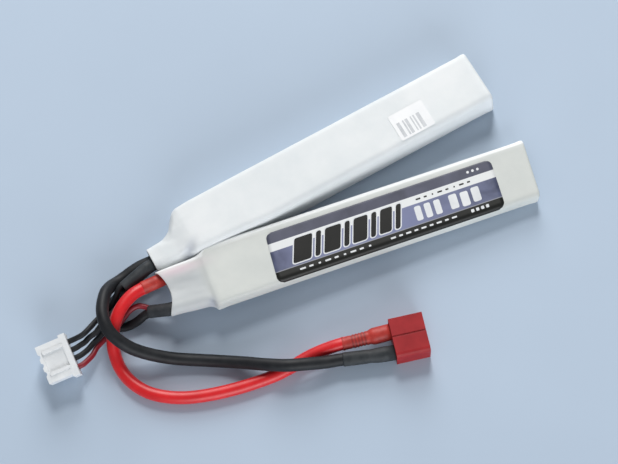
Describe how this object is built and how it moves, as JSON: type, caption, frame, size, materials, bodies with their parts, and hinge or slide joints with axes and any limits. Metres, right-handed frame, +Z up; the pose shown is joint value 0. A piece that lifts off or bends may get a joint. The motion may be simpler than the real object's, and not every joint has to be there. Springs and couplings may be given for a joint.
{
  "type": "lipo battery pack",
  "caption": "Two-stick lithium polymer pack for small aircraft: flat white sleeved cell sticks hinged on their leads, with a red power plug and a white balance plug",
  "frame": {"origin": "on the surface the pack rests on, under the middle of the double stick", "axes": "+X along the double stick from its lead end to its plain end, +Z up, +Y away from the single stick"},
  "size_m": [0.1509, 0.0716, 0.0126],
  "materials": {
    "sleeve": "satin white heat-shrink film, slightly milky",
    "pouch": "aluminium laminate pouch",
    "foam": "soft white foam tape",
    "card": "fibre insulating card",
    "tab": "bright stamped strip",
    "solder": "tinned copper strands",
    "sticker": "white paper under clear tape",
    "label": "dark slate-blue printed film with abstract blocks",
    "black_lead": "black silicone insulation",
    "red_lead": "bright red silicone insulation",
    "red_wire": "dark red silicone insulation",
    "black_shrink": "dark grey heat-shrink tube",
    "red_shrink": "red heat-shrink tube",
    "plug_red": "matte moulded red nylon",
    "gold": "gold-plated",
    "plug_white": "white moulded nylon"
  },
  "bodies": {
    "double_stick": {"rear_sleeve": "sleeve", "rear_cell_lower": "pouch", "rear_cell_upper": "pouch", "rear_foam_pad": "foam", "rear_seal_spacer": "card", "rear_lower_positive_tab": "tab", "rear_lower_negative_tab": "tab", "rear_upper_positive_tab": "tab", "rear_upper_negative_tab": "tab", "rear_series_bridge": "tab", "rear_negative_lead_tail": "solder", "rear_series_lead_tail": "solder", "rear_code_sticker": "sticker"},
    "single_stick": {"front_sleeve": "sleeve", "front_cell": "pouch", "front_side_foam": "foam", "front_positive_tab": "tab", "front_negative_tab": "tab", "front_seal_spacer": "card", "front_positive_lead_tail": "solder", "front_series_lead_tail": "solder", "front_label": "label", "main_lead_black": "black_lead", "main_lead_red": "red_lead", "link_lead": "black_lead", "balance_wire_1": "black_lead", "balance_wire_2": "black_lead", "balance_wire_3": "black_lead", "balance_wire_4": "red_wire", "rear_bundle_sleeve": "black_shrink", "plug_sleeve_red": "red_shrink", "plug_sleeve_black": "black_shrink", "front_lead_collar": "red_shrink", "front_bundle_sleeve": "black_shrink", "power_plug_housing": "plug_red", "power_contact_upright": "gold", "power_contact_flat": "gold", "balance_plug_housing": "plug_white", "balance_contact_1": "tab", "balance_contact_2": "tab", "balance_contact_3": "tab", "balance_contact_4": "tab"}
  },
  "joints": [
    {"name": "stick_swing", "type": "hinge", "parent": "double_stick", "child": "single_stick", "pos_m": [-0.0601, -0.00125, 0.0054], "axis": [0, 0, -1], "range_deg": [0, 70]}
  ]
}
